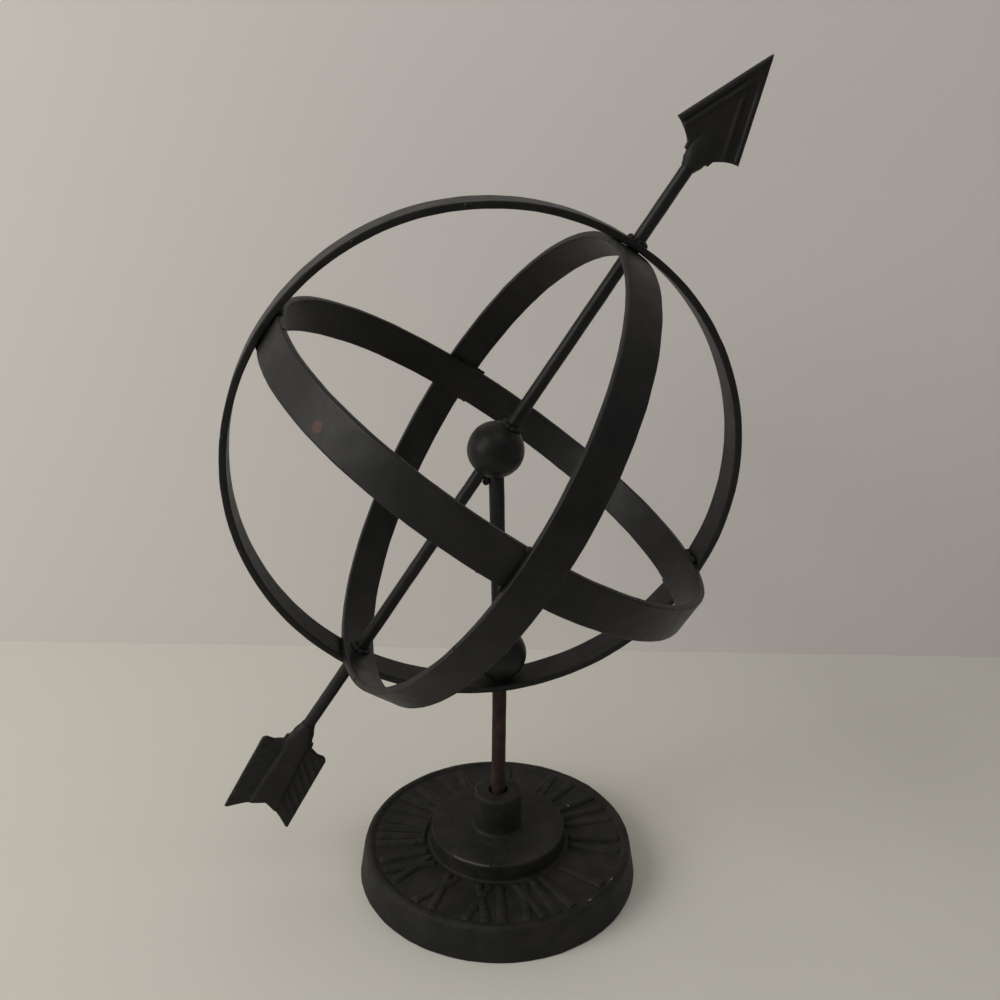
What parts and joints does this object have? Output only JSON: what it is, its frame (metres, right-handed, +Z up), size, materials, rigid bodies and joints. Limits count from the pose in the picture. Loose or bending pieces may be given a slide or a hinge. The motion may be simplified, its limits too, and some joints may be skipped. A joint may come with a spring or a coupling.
{
  "type": "armillary sphere",
  "caption": "Armillary sphere: flat iron bands round an arrow on the pole axis, on a rod in a round cast stand with a numeral ring.",
  "frame": {"origin": "middle of the stand's underside, on the floor, under the post", "axes": "+Z up along the post; +X to the viewer's right, towards the arrowhead's side; +Y away from the viewer"},
  "size_m": [0.2088, 0.196, 0.3359],
  "materials": {
    "painted_casting": "rough cast iron under satin black paint",
    "painted_band": "flat iron bar under satin black paint, a little mottled",
    "painted_rod": "satin black paint",
    "rusted_rod": "thin dark paint with brown rust coming through",
    "zinc_steel": "dull zinc plate",
    "painted_weld": "lumpy weld under satin black paint"
  },
  "bodies": {
    "stand": {"base": "painted_casting"},
    "sphere": {"arrowhead": "painted_casting", "arrow_tail": "painted_casting", "meridian_ring": "painted_band", "colure_ring": "painted_band", "equator_ring": "painted_band", "arrow_shaft": "painted_rod", "upper_post": "painted_rod", "lower_ball": "painted_rod", "centre_ball": "painted_rod", "lower_post": "rusted_rod", "post_nut": "zinc_steel", "post_washer": "zinc_steel", "foot_weld": "painted_weld", "upper_pole_weld": "painted_weld", "lower_pole_weld": "painted_weld", "left_crossing_weld": "painted_weld", "right_crossing_weld": "painted_weld", "front_crossing_weld": "painted_weld", "back_crossing_weld": "painted_weld", "centre_ball_weld": "painted_weld"}
  },
  "joints": [
    {"name": "swivel", "type": "hinge", "parent": "stand", "child": "sphere", "pos_m": [0, 0, 0.03], "axis": [0, 0, 1], "continuous": true}
  ]
}
